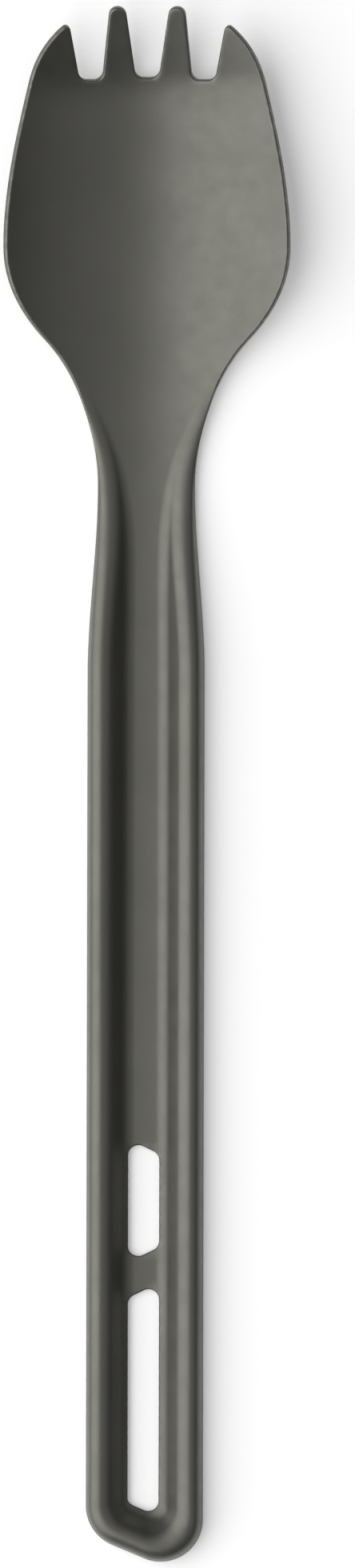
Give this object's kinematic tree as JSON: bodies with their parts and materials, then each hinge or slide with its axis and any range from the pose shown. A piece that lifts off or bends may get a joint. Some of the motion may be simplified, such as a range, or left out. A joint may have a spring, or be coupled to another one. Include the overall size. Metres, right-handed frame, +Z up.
{
  "type": "spork",
  "caption": "Long-handled spork: a spoon bowl that ends in fork tines, a narrow neck, and a handle stiffened by a ridged channel with slots to hang it by.",
  "frame": {"origin": "middle of the length and width, on the level that the handle floor and the bowl rest on", "axes": "+Y along the handle towards the tines, +Z up out of the bowl, +X to the right seen from above with the tines pointing away"},
  "size_m": [0.0406, 0.22, 0.0087],
  "materials": {
    "anodised_aluminium": "satin"
  },
  "bodies": {
    "root": {"spork_body": "anodised_aluminium"}
  },
  "joints": []
}
